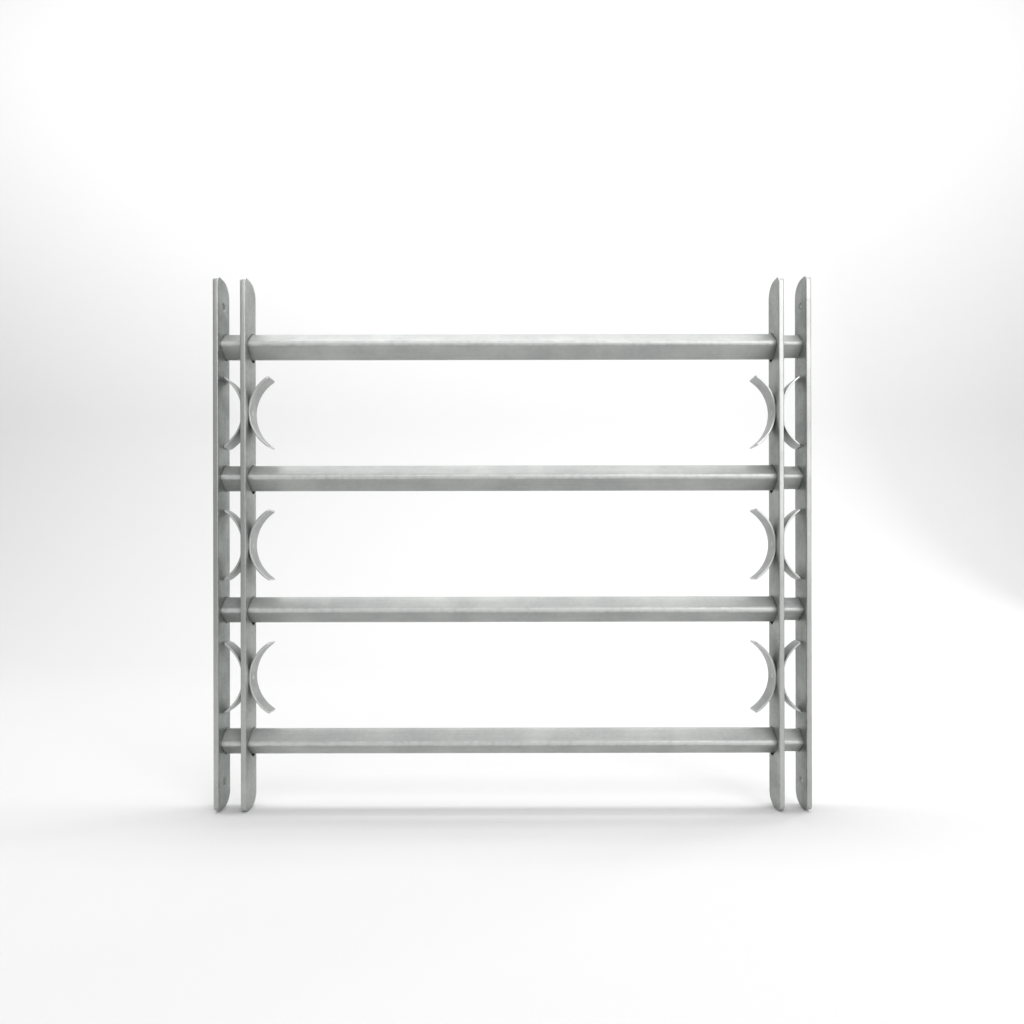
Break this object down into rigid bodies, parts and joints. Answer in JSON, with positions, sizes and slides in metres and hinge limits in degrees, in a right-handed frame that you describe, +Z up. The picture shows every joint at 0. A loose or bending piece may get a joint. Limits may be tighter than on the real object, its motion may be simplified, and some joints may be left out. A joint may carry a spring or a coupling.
{
  "type": "window security bar",
  "caption": "Extending window security grille: horizontal steel tubes slide in one another between two flat end posts, with sliding ornament posts carrying curved strips.",
  "frame": {"origin": "middle of the closed grille: halfway between the end posts' outer faces, halfway up them and at mid-depth of their flat bar", "axes": "+X along the bars to the right end post, -Y the front, where the tubes' noses point, +Z up along the posts"},
  "size_m": [0.666, 0.03, 0.5992],
  "materials": {
    "end_post_zinc": "hot-dip galvanised flat bar, dull, faintly streaked along its length",
    "ornament_post_zinc": "hot-dip galvanised flat bar, a little brighter than the end posts",
    "outer_tube_zinc": "galvanised rolled tube, satin, with fine lines along its length",
    "inner_tube_zinc": "galvanised rolled tube, satin, with slide marks along its length",
    "arc_zinc": "galvanised bent strip, satin with brighter edges",
    "weld_zinc": "weld seam under zinc, matt and rippled"
  },
  "bodies": {
    "left_frame": {"left_end_post": "end_post_zinc", "outer_tube_1": "outer_tube_zinc", "outer_tube_2": "outer_tube_zinc", "outer_tube_3": "outer_tube_zinc", "outer_tube_4": "outer_tube_zinc", "left_welds": "weld_zinc"},
    "right_frame": {"right_end_post": "end_post_zinc", "inner_tube_1": "inner_tube_zinc", "inner_tube_2": "inner_tube_zinc", "inner_tube_3": "inner_tube_zinc", "inner_tube_4": "inner_tube_zinc", "right_welds": "weld_zinc"},
    "left_ornament": {"left_ornament_post": "ornament_post_zinc", "left_outer_arc_1": "arc_zinc", "left_outer_arc_2": "arc_zinc", "left_outer_arc_3": "arc_zinc", "left_inner_arc_1": "arc_zinc", "left_inner_arc_2": "arc_zinc", "left_inner_arc_3": "arc_zinc"},
    "right_ornament": {"right_ornament_post": "ornament_post_zinc", "right_outer_arc_1": "arc_zinc", "right_outer_arc_2": "arc_zinc", "right_outer_arc_3": "arc_zinc", "right_inner_arc_1": "arc_zinc", "right_inner_arc_2": "arc_zinc", "right_inner_arc_3": "arc_zinc"}
  },
  "joints": [
    {"name": "extension_slide", "type": "slide", "parent": "left_frame", "child": "right_frame", "axis": [1, 0, 0], "range_m": [0, 0.44]},
    {"name": "left_ornament_slide", "type": "slide", "parent": "left_frame", "child": "left_ornament", "axis": [1, 0, 0], "range_m": [0, 0.462]},
    {"name": "right_ornament_slide", "type": "slide", "parent": "left_frame", "child": "right_ornament", "axis": [-1, 0, 0], "range_m": [0, 0.08]}
  ]
}
